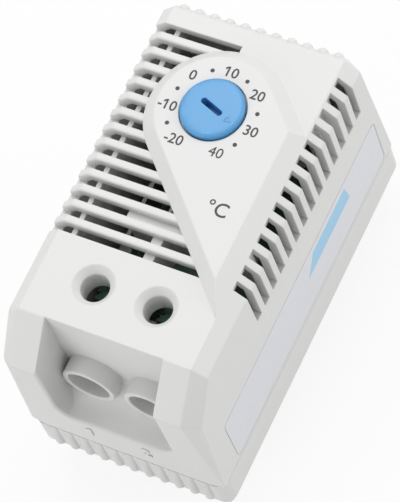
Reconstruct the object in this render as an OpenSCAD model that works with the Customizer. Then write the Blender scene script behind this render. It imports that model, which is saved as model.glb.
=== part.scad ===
// Rail-mounted bimetal temperature switch: a louvred housing with a setting dial,
// a snap contact worked by a bimetal strip, two screw terminals and a rail clip.
// Seen from the front +X is right and +Y is towards the dial, and +Z comes out of the front.
// The origin lies on the back plane of the clip, under the middle of the outline.

/* [Housing] */
// Width across the side walls
body_w = 32.5; // [31.5:0.5:38]
// Height between the end walls, without the grip ribs
body_h = 61; // [60:0.5:70]
// Depth from the front face to the back rim
body_d = 33.8; // [33:0.1:40]
// Thickness of the moulded walls
wall = 1.6; // [1.3:0.1:1.8]
// Chamfer between the front face and each side wall
side_chamfer = 2.18; // [1.6:0.02:2.8]
// Length of the sloped nose along the front, at the terminal end
nose_h = 6.6; // [5.6:0.1:6.6]
// Depth of the sloped nose
nose_d = 6.1; // [5:0.1:7]
// Set-back of the terminal-end corners where the nose begins
corner_set = 1.5; // [0.8:0.1:2]
// Set-back of the terminal-end corners at the seam
corner_foot = 0.3; // [0.1:0.1:0.8]
// Set-back of the dial-end corners
corner_dial = 0.8; // [0.2:0.1:1.2]
// How far the dial-end wall leans in between the seam and the front
top_lean = 1.45; // [0.5:0.05:2]
// Chamfer on the front edge at the dial end
top_chamfer = 0.75; // [0.3:0.05:1]
// Height of the base below the seam
base_h = 6.7; // [6:0.1:7.5]
// Floor thickness of the base
base_floor = 2; // [1.5:0.1:2.5]
// Corner radius of the base
base_corner = 2; // [1.2:0.1:2.4]
// Chamfer round the back edge of the base
back_chamfer = 0.7; // [0.3:0.1:1.2]
// Height and depth of the groove that marks the seam
seam_groove = 0.2; // [0.15:0.05:0.4]
// Thickness of the locating lip inside the seam
lip_t = 1; // [0.8:0.1:1.4]
// Height of the locating lip above the seam
lip_h = 1.4; // [1:0.1:2]

/* [Grip ribs] */
// Ribs on each end wall
rib_count = 11; // [7:2:11]
// Distance between ribs
rib_pitch = 2.54; // [2.2:0.02:2.6]
// Radius of each rib
rib_r = 0.85; // [0.7:0.05:1]
// Height of the ribs above the end walls
rib_proud = 0.6; // [0.4:0.05:0.7]

/* [Louvres] */
// Slots on each side
slot_count = 14; // [12:1:14]
// Width of a slot
slot_w = 1.41; // [1.2:0.01:1.5]
// Middle of the first slot, measured from the dial-end wall
slot_first = 5.72; // [5:0.02:6.4]
// Middle of the last slot, measured from the terminal-end wall
slot_last = 20.7; // [20.2:0.1:22]
// How far the slots run down the right wall from the front face
slot_depth = 9.4; // [7:0.1:12]
// How far the slots run down the left wall from the front face
slot_left = 3; // [2.4:0.1:6]
// Where the first slot stops, left of the dial
slot_first_end = 1.3; // [0.5:0.1:3]
// Strip of front edge left above the slots on the right side
slot_edge = 0.3; // [0.2:0.05:0.6]
// Thickness of the thin walls inside the cover
web_t = 0.8; // [0.6:0.1:1.2]
// Height of the rib that ties the louvre bars from inside
tie_h = 2.9; // [2:0.1:5]
// Distance of that rib from the outer face of the left wall
tie_in = 3.65; // [3:0.05:5]
// Distance of the screen behind the right louvres from the outer face of the right wall
screen_in = 2.55; // [2.5:0.05:3.2]
// Thickness of the divider between the terminals
divider_t = 1.7; // [1:0.1:2]
// Reach of the partition under the slots, left of the middle
partition_left = 6.1; // [4:0.1:7]

/* [Dial] */
// Distance of the dial axis from the dial-end wall
dial_in = 16.77; // [16.6:0.01:17.2]
// Radius of the raised tongue at its foot
tongue_r = 10.8; // [10.2:0.05:11]
// Width of the tongue's bevel
tongue_bevel = 2; // [1:0.05:2.2]
// Height of the tongue above the front face
tongue_h = 2; // [1.6:0.1:2.4]
// Radius of the knob's head
knob_r = 4.85; // [4.5:0.05:5.2]
// Height of the knob above the tongue
knob_proud = 1; // [0.6:0.1:1.4]
// Rounding of the knob's rim
knob_round = 0.45; // [0.2:0.05:0.5]
// Rise of the knob's domed top
knob_dome = 0.16; // [0.08:0.02:0.2]
// Gap round the knob in its well
knob_gap = 0.25; // [0.2:0.05:0.5]
// Depth of the knob's well
well_d = 1; // [0.8:0.1:1.2]
// Gap under the knob's head
knob_under = 0.2; // [0.1:0.05:0.4]
// Radius of the knob's shank
shank_r = 3; // [2.6:0.1:3.4]
// Length of the driver slot in the knob
driver_l = 4.1; // [3:0.1:5]
// Width of the driver slot in the knob
driver_w = 0.95; // [0.6:0.05:1.2]
// Depth of the driver slot in the knob
driver_d = 2.4; // [0.8:0.1:2.6]
// Direction in which the knob points, from +X towards +Y
pointer_angle = -21; // [-60:1:240]
// Distance of the pointer mark from the knob's axis
pointer_r = 3.3; // [3:0.1:3.6]
// Size of the pointer mark
pointer_size = 0.7; // [0.5:0.02:0.8]
// Width of the pointer mark's raised line
pointer_line = 0.14; // [0.12:0.02:0.2]
// Height of the pointer mark
pointer_h = 0.07; // [0.05:0.01:0.2]

/* [Terminals] */
// Distance of each terminal from the middle
term_x = 5.1; // [5.05:0.01:5.3]
// Distance of the terminal screws from the terminal-end wall
term_y = 13.7; // [13.5:0.1:14]
// Depth of the wire entries below the front face
wire_depth = 14.9; // [14.5:0.1:15.5]
// Radius of the wire entries
wire_r = 3.35; // [3:0.05:3.5]
// Outer radius of the wire tubes
tube_r = 4.25; // [4:0.05:4.4]
// How far the wire tubes stand out into the recess
tube_out = 2.86; // [2:0.02:3.4]
// How far the wire tubes run on inside
tube_in = 1.6; // [1:0.1:1.7]
// Radius of the screwdriver holes
driver_hole_r = 2.2; // [2.1:0.05:2.4]
// Radius of their countersinks
sink_r = 3.25; // [2.8:0.05:3.6]
// Depth of their countersinks
sink_d = 1.05; // [0.6:0.05:1.4]
// Length of the chimney behind each screwdriver hole
chimney_l = 3.4; // [2:0.1:3.8]
// Half width of the recess at the terminal end
recess_half = 9.58; // [9.4:0.02:9.8]
// Radius of the recess's scooped floor, which is also its reach in from the end wall
recess_r = 6.7; // [6.7:0.1:7]
// Depth of the scoop's centre below the front face
recess_d = 13.8; // [13:0.1:14.2]
// Corner radius of the recess
recess_corner = 3; // [2:0.1:4]
// Radius of the terminal screws
screw_r = 1.45; // [1.2:0.05:1.5]
// Head radius of the terminal screws
screw_head_r = 1.95; // [1.7:0.05:2]
// Head height of the terminal screws
screw_head_h = 1.6; // [1.2:0.1:1.8]
// Slot width of the terminal screws
screw_slot = 0.7; // [0.5:0.05:0.9]
// Travel of each wire clamp
clamp_travel = 2; // [1:0.1:2.2]
// Width of each wire clamp
clamp_w = 6.6; // [6.2:0.1:6.8]
// Length of each wire clamp along the wire
clamp_l = 5.6; // [5:0.1:5.8]
// Sheet thickness of the wire clamps
clamp_t = 0.95; // [0.8:0.05:1]
// Open height for the wire under the rail
wire_gap = 3.6; // [3:0.1:4]

/* [Switch] */
// Thickness of the switch board
board_t = 1.6; // [1.2:0.1:1.8]
// Height of the board's underside above the base floor
board_up = 8.4; // [8:0.1:8.8]
// Clearance of the board inside the housing walls
board_gap = 0.6; // [0.5:0.1:0.8]
// Distance from the recess wall to the board
board_set = 13.85; // [13.5:0.05:14]
// Radius of the posts under the board
post_r = 1.9; // [1.5:0.1:2.2]
// Radius of the pins through the board
pin_r = 0.9; // [0.7:0.05:1]
// Sheet thickness of the current rails
rail_t = 0.8; // [0.6:0.05:0.9]
// Width of the current rails on the board
rail_w = 2; // [1.8:0.1:2.2]
// Width of the current rails at the terminals
bar_w = 4.2; // [3.4:0.1:4.2]
// Length of each rail's foot on the board
foot_l = 3.9; // [3.6:0.1:4.2]
// Thickness of the upright roots of the switch
root_t = 1.2; // [1:0.05:1.3]
// Half length of those roots
root_half = 1.6; // [1.5:0.05:1.6]
// Radius of the spindle
spindle_r = 1.5; // [1.2:0.05:1.6]
// Length of the spindle inside the knob, below the well
spindle_in = 1.3; // [1.2:0.1:1.6]
// Wall of the spindle's bush, and the width of its flange
bush_t = 1; // [0.8:0.1:1.2]
// Width of the ring that holds the knob, outside its shank
clip_rim = 1.2; // [1:0.1:1.4]
// Thickness of that ring
clip_t = 0.6; // [0.5:0.05:0.7]
// Radius of the cam where the blade touches it in the drawn setting
cam_r = 4.6; // [4.4:0.05:4.7]
// Rise of the cam for each degree of setting
cam_rise = 0.0015; // [0.001:0.0001:0.0015]
// Thickness of the cam
cam_t = 4.6; // [3:0.1:4.8]
// Lowest turn of the setting from the drawn one, in degrees
turn_min = -39; // [-60:1:0]
// Highest turn of the setting from the drawn one, in degrees
turn_max = 261; // [180:1:265]
// Gap between the cam and the blade's nib
cam_gap = 0.15; // [0.1:0.01:0.2]
// Thickness of the contact blade
blade_t = 0.5; // [0.3:0.05:0.5]
// Width of the contact blade
blade_w = 5; // [4.4:0.1:5.4]
// Radius of the nib that follows the cam
nib_r = 0.8; // [0.6:0.05:0.8]
// Thickness of the bimetal strip
strip_t = 0.6; // [0.4:0.05:0.7]
// Width of the bimetal strip at its root
strip_w = 7; // [6:0.1:7.2]
// Width of the bimetal strip at its free end
strip_tip_w = 5; // [4:0.1:6]
// Distance of the bimetal strip from the dial axis
strip_x = 10.1; // [10.05:0.05:10.3]
// Distance from the dial axis up to the roots of strip and blade
root_up = 11.5; // [11:0.1:11.5]
// Distance from the board's lower edge up to the contacts
contact_up = 11.18; // [10.5:0.02:12]
// Radius of the contact buttons
contact_r = 1.3; // [1.1:0.1:1.5]
// Height of the contact buttons
contact_h = 1; // [0.8:0.05:1]
// Width of the magnet
magnet_w = 2.1; // [1.6:0.1:2.2]
// Length of the magnet
magnet_l = 2.4; // [1.8:0.1:2.5]
// Gap between the magnet and the bimetal strip
magnet_gap = 1.1; // [1.1:0.05:1.3]
// Radius of the rivets
rivet_r = 0.75; // [0.6:0.05:0.8]
// Width of a rivet's head outside its shank
rivet_rim = 0.6; // [0.5:0.05:0.7]
// Height of a rivet's head
rivet_head_h = 0.5; // [0.4:0.05:0.6]
// Radius of the calibration screw
adjust_r = 0.6; // [0.5:0.05:0.7]

/* [Rail clip] */
// How far the clip stands out behind the back rim
clip_d = 6.2; // [6:0.1:7]
// Width of the mounting rail
din_w = 35; // [35:0.1:35.2]
// Thickness of the mounting rail's flange
din_t = 1; // [0.9:0.05:1.1]
// Clearance round the rail flange
din_gap = 0.3; // [0.2:0.05:0.4]
// How far the hooks reach behind the flange
hook_reach = 1.7; // [1.2:0.1:2.2]
// Thickness of the fixed hook's wall
hook_t = 3; // [2.4:0.1:4]
// Thickness of the hooks' noses at their tips
tip_t = 1.2; // [0.8:0.1:1.4]
// Half width of the fixed hook
hook_half = 12; // [8:0.5:13]
// Half width of the latch
latch_half = 6; // [5:0.1:7]
// Thickness of the latch plate
latch_t = 3.1; // [2.8:0.1:3.3]
// Length of the latch behind its nose
latch_l = 10.6; // [10.4:0.1:11]
// Width of each latch guide
guide_t = 2; // [1.6:0.1:2.6]
// How far each guide's foot reaches under the latch
guide_foot = 1.3; // [1:0.1:1.8]
// Mean radius of the latch spring
spring_r = 1.1; // [0.9:0.05:1.15]
// Wire radius of the latch spring
spring_wire = 0.22; // [0.16:0.02:0.24]
// Length of the latch spring
spring_l = 4.8; // [4.6:0.1:4.9]
// Turns of the latch spring
spring_turns = 6; // [4:1:7]

/* [Label] */
// Length of the label
label_l = 52.2; // [40:0.1:53]
// Height of the label
label_h = 10.6; // [8:0.1:11]
// Corner radius of the label
label_r = 0.8; // [0.4:0.1:1.5]
// Thickness of the label
label_t = 0.12; // [0.08:0.01:0.14]
// Depth of the label's shallow pocket
label_pocket = 0.16; // [0.15:0.01:0.3]
// Gap round the label in its pocket
label_gap = 0.15; // [0.1:0.05:0.3]
// Distance of the label's lower end from the terminal-end wall
label_low = 5.5; // [4:0.1:7]
// Distance of the label from the seam
label_up = 0.5; // [0.4:0.1:2]

/* [Fits] */
// Radial clearance where a shaft turns in a bore
run_fit = 0.05; // [0.02:0.01:0.08]
// Radial clearance where a rivet or pin is fixed in a hole
fixed_fit = 0.02; // [0.01:0.01:0.04]
// Clearance beside sliding pieces
slide_gap = 0.3; // [0.2:0.05:0.35]
// Clearance beside the roots of strip and blade
root_gap = 0.1; // [0.08:0.01:0.12]
// Clearance between the cover and the lip inside it
lip_gap = 0.1; // [0.08:0.01:0.15]

/* [Hidden] */
$fn = 48;

plastic = [0.92, 0.92, 0.91];
blue = [0.35, 0.62, 0.92];
cam_white = [0.94, 0.92, 0.84];
brass = [0.80, 0.66, 0.36];
steel = [0.72, 0.73, 0.75];
copper = [0.74, 0.50, 0.36];
board_green = [0.10, 0.30, 0.20];
magnet_grey = [0.25, 0.25, 0.27];
silver = [0.86, 0.86, 0.84];
label_tint = [0.83, 0.83, 0.87];

// Overshoot of cutting shapes and overlap of joined ones
over = 1;
weld = 0.1;

// Small and wide clearances between fixed pieces
near = 0.2;
apart = 0.4;

// Levels in depth
rim_z = clip_d;
seam_z = rim_z + base_h;
front_z = rim_z + body_d;
inner_z = front_z - wall;
floor_z = rim_z + base_floor;
slot_z = front_z - slot_depth;

// Places on the front
half_w = body_w / 2;
half_h = body_h / 2;
chamfer_x = half_w - side_chamfer;
nose_y = nose_h - half_h;
lean_y = half_h - top_lean;
edge_y = lean_y - top_chamfer;
lean_angle = atan2(top_lean, front_z - top_chamfer - seam_z);
flank_y = half_h - (front_z - side_chamfer - seam_z) * tan(lean_angle);
slot_top = half_h - slot_first;
slot_pitch = (body_h - slot_first - slot_last) / (slot_count - 1);
dial_y = half_h - dial_in;

// Terminal places
recess_y = recess_r - half_h;
recess_z = front_z - recess_d;
recess_low = recess_z - recess_r;
recess_roof = recess_low - wall;
screw_y = term_y - half_h;
wire_z = front_z - wire_depth;
bar_z = wire_z + wire_gap / 2 - slide_gap;
bar_top = bar_z + rail_t;
clamp_floor = bar_z - wire_gap;
clamp_over = 1.2;
clamp_roof = bar_top + clamp_over;
clamp_top = clamp_roof + clamp_t;
head_z = clamp_top + clamp_travel + slide_gap;
chimney_z = inner_z - chimney_l;

// Switch places
board_x = half_w - wall - board_gap;
board_y = recess_y + board_set;
board_z = floor_z + board_up;
board_top = board_z + board_t;
rail_top = board_top + rail_t;
foot_y = board_y + near;
run_y0 = foot_y + foot_l - rail_w - apart;
rail_1_x = board_x - board_gap;
rail_2_out = 1.1;
rail_2_x = 2 * term_x + rail_2_out;
rivet_head_r = rivet_r + rivet_rim;
rivet_y = dial_y - root_up / 2;
foot_mid = foot_y + (foot_l + rail_t) / 2;
rivet_places = [[rail_w / 2 - rail_1_x, rivet_y], [-term_x, foot_mid],
                [rail_2_x - rail_w / 2, rivet_y], [term_x, foot_mid]];
post_up = 5.48;
post_off = 2;
post_in = 2.4;
post_rows = [-10.7, 6.3, 4.3];
post_places = [[0, board_y + post_up], [cam_r + post_off, dial_y + post_rows[0]],
               [cam_r + post_off, dial_y + post_rows[1]], [post_in - strip_x, dial_y + post_rows[2]]];
strip_up = 0.8;
blade_mid = rail_top + strip_w / 2 + strip_up;
contact_y = board_y + contact_up;
root_y = dial_y + root_up;
root_low = root_y - root_half;
root_end = root_y + root_half;
root_row = 1.5;
root_levels = [blade_mid - root_row, blade_mid + root_row];
blade_face = cam_r + cam_gap + nib_r;
blade_back = root_gap - blade_face;
blade_end = contact_y - contact_r - slide_gap;
strip_face = strip_x - strip_t / 2;
strip_back = root_gap - strip_face;
strip_end = blade_end - magnet_l - apart;
arm_gap = 0.6;
arm_l = 4.4;
arm_half = 1.4;
arm_y = root_low - arm_l;
adjust_in = 1.3;
adjust_y = arm_y + adjust_in;
adjust_head = 0.8;
adjust_slot = 0.4;
cam_z = blade_mid - cam_t / 2;

// Dial places
knob_top = front_z + tongue_h + knob_proud;
well_z = front_z + tongue_h - well_d;
head_low = well_z + knob_under;
clip_z = inner_z - apart - clip_t;
groove_d = 0.5;
groove_r = shank_r - groove_d;
shank_low = clip_z - clip_t;
spindle_foot = 0.6;
spindle_low = board_z - spindle_foot;
spindle_top = well_z - spindle_in;
bush_r = spindle_r + bush_t;

// Rail clip places
din_y = din_w / 2 + near;
flange_z = rim_z - din_t - din_gap;
latch_top = rim_z - near;
latch_low = latch_top - latch_t;
latch_end = din_y + latch_l;
window_gap = 0.35;
window_in = 1.5;
window_half = spring_r + spring_wire + window_gap;
window_y = din_y + window_in;
stop_y = window_y + spring_l + near;
stop_t = 1.1;
pull_in = 0.8;
pull_w = 1;
spring_z = latch_low + latch_t / 2;

// Label places
label_y = label_low - half_h;
label_z = seam_z + label_up;

// Section of the housing across its width, its side chamfers carried on up to the top
function across(inset, low, top) =
    let (h = half_w - inset, k = chamfer_x + front_z - inset * sqrt(2))
    [[-h, low], [h, low], [h, k - h], [k - top, top], [top - k, top], [-h, k - h]];

// Left edge of the raised tongue at a height on the front
function tongue_edge(y) =
    let (dy = y - dial_y)
    dy < -tongue_r / sqrt(2) ? -tongue_r * sqrt(2) - dy
    : dy < tongue_r ? -sqrt(pow(tongue_r, 2) - pow(dy, 2)) : 0;

function slot_y(i) = slot_top - i * slot_pitch;
function slot_end(i) = i == 0 ? -slot_first_end : tongue_edge(slot_y(i)) + tongue_bevel;
function rib_x(i) = (i - (rib_count - 1) / 2) * rib_pitch;

// Extrusion along Y of a section in X and Z
module run_y(section, length) {
    rotate([90, 0, 0]) linear_extrude(length, center = true) polygon(section);
}

// Extrusion along X of a section in Y and Z
module run_x(section, length) {
    rotate([90, 0, 90]) linear_extrude(length, center = true) polygon(section);
}

module block(low, high) {
    translate(low) cube(high - low);
}

module both_sides() {
    for (side = [0, 1]) mirror([side, 0, 0]) children();
}

module at_terminals() {
    for (side = [-1, 1]) translate([side * term_x, 0, 0]) children();
}

module along_x(r, length) {
    rotate([0, 90, 0]) cylinder(r = r, h = length);
}

// Rounded rectangle about the origin
module rounded(w, h, r) {
    square([2 * w, 2 * (h - r)], center = true);
    square([2 * (w - r), 2 * h], center = true);
    for (x = [r - w, w - r], y = [r - h, h - r]) translate([x, y]) circle(r);
}

// Outer form of the cover: middle with the sloped nose, and flanks set back by the chamfers
module cover_form() {
    middle = [[-half_h, seam_z], [-half_h, front_z - nose_d], [nose_y, front_z],
              [edge_y, front_z], [lean_y, front_z - top_chamfer], [half_h, seam_z]];
    flank = [[corner_foot - half_h, seam_z],
             [corner_set - half_h, front_z - nose_d - side_chamfer],
             [nose_y + corner_foot, front_z - side_chamfer],
             [flank_y - corner_dial, front_z - side_chamfer], [half_h - corner_dial, seam_z]];
    hull() {
        run_x(middle, 2 * chamfer_x);
        run_x(flank, body_w);
    }
}

// Hollow of the cover, with two side pockets beside the terminal recess
module cover_cavity() {
    inside = [[wall - half_h, seam_z - over], [wall - half_h, recess_roof],
              [recess_y + wall, recess_roof], [recess_y + wall, inner_z],
              [lean_y - wall, inner_z], [half_h - wall, seam_z], [half_h - wall, seam_z - over]];
    intersection() {
        run_y(across(wall, seam_z - over, inner_z), 2 * body_h);
        run_x(inside, 2 * body_w);
    }
    both_sides() block([recess_half + wall, wall - half_h, seam_z - over],
                       [half_w - wall, recess_y + wall + weld, front_z - nose_d - wall]);
}

module left_louvres() {
    for (i = [0 : slot_count - 1])
        block([-half_w - over, slot_y(i) - slot_w / 2, front_z - slot_left],
              [slot_end(i), slot_y(i) + slot_w / 2, front_z + over]);
}

module right_louvres() {
    for (i = [0 : slot_count - 1])
        block([chamfer_x - near, slot_y(i) - slot_w / 2, slot_z],
              [half_w + over, slot_y(i) + slot_w / 2, front_z - slot_edge]);
}

// Recess round the wire entries: straight above, scooped below, with round lower corners
module wire_recess() {
    top = front_z + over;
    middle = (recess_low + top) / 2;
    intersection() {
        union() {
            block([-body_w, -half_h - over, recess_z], [body_w, recess_y, top]);
            translate([-body_w, -half_h, recess_z]) along_x(recess_r, 2 * body_w);
        }
        translate([0, recess_y + over, middle]) rotate([90, 0, 0])
            linear_extrude(recess_r + 3 * over) rounded_recess(top - middle);
    }
}

module rounded_recess(half) {
    rounded(recess_half, half, recess_corner);
    translate([-recess_half, 0]) square([2 * recess_half, half]);
}

// Raised tongue that carries the dial and runs down to the right edge
module dial_tongue() {
    r = tongue_r;
    t = tongue_r - tongue_bevel;
    low = inner_z - weld;
    step = front_z + weld / 2;
    top = front_z + tongue_h;
    section = [[-r, low], [r, low], [r, step], [t, top], [-t, top], [-r, step]];
    intersection() {
        translate([0, dial_y, 0]) rotate([0, 0, -45]) {
            rotate([0, 0, 90]) rotate_extrude(angle = 180)
                polygon([[0, low], [r, low], [r, step], [t, top], [0, top]]);
            translate([body_w, 0, 0]) run_x(section, 2 * body_w);
        }
        run_y(across(0, low, top), 2 * body_h);
    }
}

// Grip ribs on the dial-end wall of the cover, with round front ends
module cover_ribs() {
    length = front_z - seam_z - rib_r - weld;
    intersection() {
        for (i = [0 : rib_count - 1])
            translate([rib_x(i), half_h + rib_proud - rib_r, seam_z]) rotate([lean_angle, 0, 0]) {
                translate([0, 0, -over]) cylinder(r = rib_r, h = length + over);
                translate([0, 0, length]) rotate([45, 0, 0]) sphere(rib_r);
            }
        block([-body_w, 0, seam_z], [body_w, body_h, front_z]);
    }
}

// Walls inside the cover: tie under the bars, screen on the right, partition and divider
module cover_walls() {
    top = inner_z + weld;
    last = slot_count - 1;
    part_y = slot_y(last - 2);
    block([tie_in - half_w, slot_y(last) - slot_w, inner_z - tie_h],
          [tie_in - half_w + web_t, slot_top + slot_w, top]);
    block([half_w - screen_in - web_t, slot_y(3) - slot_w / 2, slot_z - wall],
          [half_w - screen_in, slot_y(1) + slot_w / 2, top]);
    block([-partition_left, part_y - slot_w / 2, slot_z],
          [half_w - wall + weld, part_y + slot_w / 2, top]);
    block([-divider_t / 2, recess_y + wall - weld, slot_z], [divider_t / 2, part_y, top]);
}

module wire_tube(r, extra) {
    translate([0, recess_y + wall + tube_in + extra, wire_z]) rotate([90, 0, 0])
        cylinder(r = r, h = wall + tube_in + tube_out + 2 * extra);
}

module front_cover() color(plastic) difference() {
    union() {
        difference() {
            cover_form();
            cover_cavity();
            left_louvres();
            wire_recess();
        }
        dial_tongue();
        cover_ribs();
        cover_walls();
        at_terminals() {
            wire_tube(tube_r, 0);
            translate([0, screw_y, chimney_z])
                cylinder(r = driver_hole_r + web_t, h = chimney_l + weld);
        }
    }
    right_louvres();
    translate([0, dial_y, inner_z - over])
        cylinder(r = shank_r + run_fit, h = well_z - inner_z + 2 * over);
    translate([0, dial_y, well_z]) cylinder(r = knob_r + knob_gap, h = tongue_h);
    at_terminals() {
        wire_tube(wire_r, over);
        translate([0, screw_y, chimney_z - over])
            cylinder(r = driver_hole_r, h = front_z - chimney_z + 2 * over);
        translate([0, screw_y, front_z - sink_d])
            cylinder(r1 = driver_hole_r, r2 = sink_r, h = sink_d);
    }
    label_plate(half_w - label_pocket, label_gap, over);
}

// Plate on the right wall, grown beyond the label by a gap
module label_plate(x, gap, thick) {
    translate([x, label_y + label_l / 2, label_z + label_h / 2]) rotate([90, 0, 90])
        linear_extrude(thick) rounded(label_l / 2 + gap, label_h / 2 + gap, label_r + gap);
}

module rating_label() color(label_tint) label_plate(half_w - label_pocket, 0, label_t);

// Base: tray with a chamfered back edge and a lip that locates the cover
module base_tray() {
    c = back_chamfer;
    inset = wall + lip_gap;
    wide = [[c - half_w, rim_z], [half_w - c, rim_z], [half_w, rim_z + c], [half_w, seam_z],
            [-half_w, seam_z], [-half_w, rim_z + c]];
    long = [[c - half_h, rim_z], [half_h - c, rim_z], [half_h, rim_z + c], [half_h, seam_z],
            [-half_h, seam_z], [-half_h, rim_z + c]];
    difference() {
        union() {
            intersection() {
                base_layer(0, rim_z, seam_z - seam_groove);
                run_y(wide, 2 * body_h);
                run_x(long, 2 * body_w);
            }
            base_layer(seam_groove, floor_z, seam_z);
            base_layer(inset, floor_z, seam_z + lip_h);
        }
        base_layer(inset + lip_t, floor_z, front_z);
    }
}

module base_layer(inset, low, top) {
    translate([0, 0, low]) linear_extrude(top - low)
        rounded(half_w - inset, half_h - inset, max(base_corner - inset, near));
}

// Grip ribs on both ends of the base, with round back ends
module base_ribs() {
    low = rim_z + back_chamfer + rib_r;
    y = half_h + rib_proud - rib_r;
    for (i = [0 : rib_count - 1], end = [-1, 1]) translate([rib_x(i), end * y, low]) {
        cylinder(r = rib_r, h = seam_z - seam_groove - low);
        sphere(rib_r);
    }
}

// Posts under the board, each with a pin through it
module base_posts() {
    for (p = post_places) translate([p[0], p[1], floor_z - weld]) {
        cylinder(r = post_r, h = board_up + weld);
        cylinder(r = pin_r, h = board_up + board_t + apart + weld);
    }
}

// Three walls that guide the wire clamps
module clamp_walls() {
    inner = term_x - clamp_w / 2 - slide_gap;
    outer = term_x + clamp_w / 2 + slide_gap;
    low = screw_y - clamp_l / 2 - near;
    high = screw_y + clamp_l / 2 + near;
    block([-inner, low, floor_z - weld], [inner, high, wire_z]);
    both_sides() block([outer, low, floor_z - weld], [outer + wall, high, wire_z]);
}

// Fixed hook of the rail clip, drawn in profile
module fixed_hook() {
    top = rim_z + weld;
    run_x([[din_y, top], [din_y, flange_z], [din_y - hook_reach, flange_z],
           [din_y - hook_reach, flange_z - tip_t], [din_y, 0], [din_y + hook_t, 0],
           [din_y + hook_t, top]], 2 * hook_half);
}

// Guides that hold the latch, and the stop for its spring
module latch_guides() {
    x = latch_half + slide_gap;
    low = apart - latch_end;
    high = -din_y - apart - near;
    both_sides() {
        block([x, low, 0], [x + guide_t, high, rim_z + weld]);
        block([x - guide_foot, low, 0], [x + guide_t, high, latch_low - slide_gap]);
    }
    block([slide_gap - window_half, -stop_y - stop_t, latch_low],
          [window_half - slide_gap, -stop_y, rim_z + weld]);
}

module rear_base() color(plastic) {
    base_tray();
    base_ribs();
    base_posts();
    clamp_walls();
    fixed_hook();
    latch_guides();
}

// Latch: sliding plate with a hooked nose, a spring window and a pull slot
module rail_latch() color(plastic) difference() {
    tip = hook_reach - din_y;
    union() {
        block([-latch_half, -latch_end, latch_low], [latch_half, -din_y, latch_top]);
        run_x([[-din_y - over, latch_low], [-din_y, latch_low - slide_gap],
               [tip, flange_z - tip_t], [tip, flange_z], [-din_y - over, flange_z]],
              2 * latch_half);
    }
    block([-window_half, -stop_y - stop_t - slide_gap, latch_low - over],
          [window_half, -window_y, latch_top + over]);
    block([-latch_half / 2, pull_in - latch_end, latch_low - over],
          [latch_half / 2, pull_in + pull_w - latch_end, latch_top + over]);
}

// Latch spring: round wire along a helix between the stop and the latch
module latch_spring() color(steel) {
    steps = 16 * spring_turns;
    sides = 8;
    start = spring_wire + fixed_fit - stop_y;
    rise = spring_l - 2 * spring_wire;
    points = [for (s = [0 : steps], k = [0 : sides - 1])
        let (a = 360 * s * spring_turns / steps, q = 360 * k / sides,
             r = spring_r + spring_wire * cos(q))
        [r * cos(a), start + rise * s / steps + spring_wire * sin(q), spring_z + r * sin(a)]];
    skin = [for (s = [0 : steps - 1], k = [0 : sides - 1])
        let (a = s * sides, b = a + sides, n = (k + 1) % sides)
        [a + k, b + k, b + n, a + n]];
    first = [for (k = [0 : sides - 1]) k];
    last = [for (k = [sides - 1 : -1 : 0]) steps * sides + k];
    polyhedron(points, concat(skin, [first, last]));
}

// Board: insulating plate on the posts, with holes for pins, rivets and bush
module switch_board() color(board_green) difference() {
    block([-board_x, board_y, board_z], [board_x, lean_y - wall - board_gap, board_top]);
    for (p = post_places) board_hole(p, pin_r + run_fit);
    for (p = rivet_places) board_hole(p, rivet_r + fixed_fit);
    board_hole([0, dial_y], bush_r + fixed_fit);
}

module board_hole(p, r) {
    translate([p[0], p[1], board_z - over]) cylinder(r = r, h = board_t + rail_t + 2 * over);
}

// Current rail at a terminal: bar in the clamp, leg down and foot on the board
module terminal_bar() {
    w = bar_w / 2;
    block([-w, screw_y - clamp_l / 2 + near, bar_z], [w, foot_y + rail_t, bar_top]);
    block([-w, foot_y, board_top], [w, foot_y + rail_t, bar_top]);
    block([-w, foot_y, board_top], [w, foot_y + foot_l, rail_top]);
}

module root_holes(x) {
    for (z = root_levels) translate([x - over, root_y, z])
        along_x(rivet_r + fixed_fit, root_t + 2 * over);
}

// Left rail: runs up to the root of the bimetal strip and carries the calibration screw
module terminal_rail_1() color(brass) difference() {
    arm_x = strip_back + arm_gap;
    union() {
        translate([-term_x, 0, 0]) terminal_bar();
        block([-rail_1_x, run_y0, board_top], [-term_x, run_y0 + rail_w, rail_top]);
        block([-rail_1_x, run_y0, board_top], [rail_w - rail_1_x, root_end, rail_top]);
        block([-rail_1_x, root_low, board_top], [strip_back + root_t, root_end, rail_top]);
        block([strip_back, root_low, board_top],
              [strip_back + root_t, root_end, blade_mid + strip_w / 2]);
        block([arm_x, arm_y, blade_mid - arm_half],
              [arm_x + rail_t, root_low + weld, blade_mid + arm_half]);
    }
    for (p = rivet_places) board_hole(p, rivet_r + fixed_fit);
    root_holes(strip_back);
    translate([arm_x - over, adjust_y, blade_mid]) along_x(adjust_r + fixed_fit, rail_t + 2 * over);
}

// Right rail: runs round the dial to the root of the contact blade
module terminal_rail_2() color(brass) difference() {
    union() {
        translate([term_x, 0, 0]) terminal_bar();
        block([term_x, run_y0, board_top], [rail_2_x, run_y0 + rail_w, rail_top]);
        block([rail_2_x - rail_w, run_y0, board_top], [rail_2_x, root_end, rail_top]);
        block([blade_back, root_low, board_top], [rail_2_x, root_end, rail_top]);
        block([blade_back, root_low, board_top],
              [blade_back + root_t, root_end, blade_mid + blade_w / 2]);
    }
    for (p = rivet_places) board_hole(p, rivet_r + fixed_fit);
    root_holes(blade_back);
}

// Rivet along +Z with a flat head at each end of its grip
module rivet(grip) {
    translate([0, 0, -rivet_head_h]) cylinder(r = rivet_head_r, h = rivet_head_h);
    cylinder(r = rivet_r, h = grip);
    translate([0, 0, grip]) cylinder(r = rivet_head_r, h = rivet_head_h);
}

module rail_rivets() color(brass) {
    for (p = rivet_places) translate([p[0], p[1], board_z]) rivet(board_t + rail_t);
}

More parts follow.
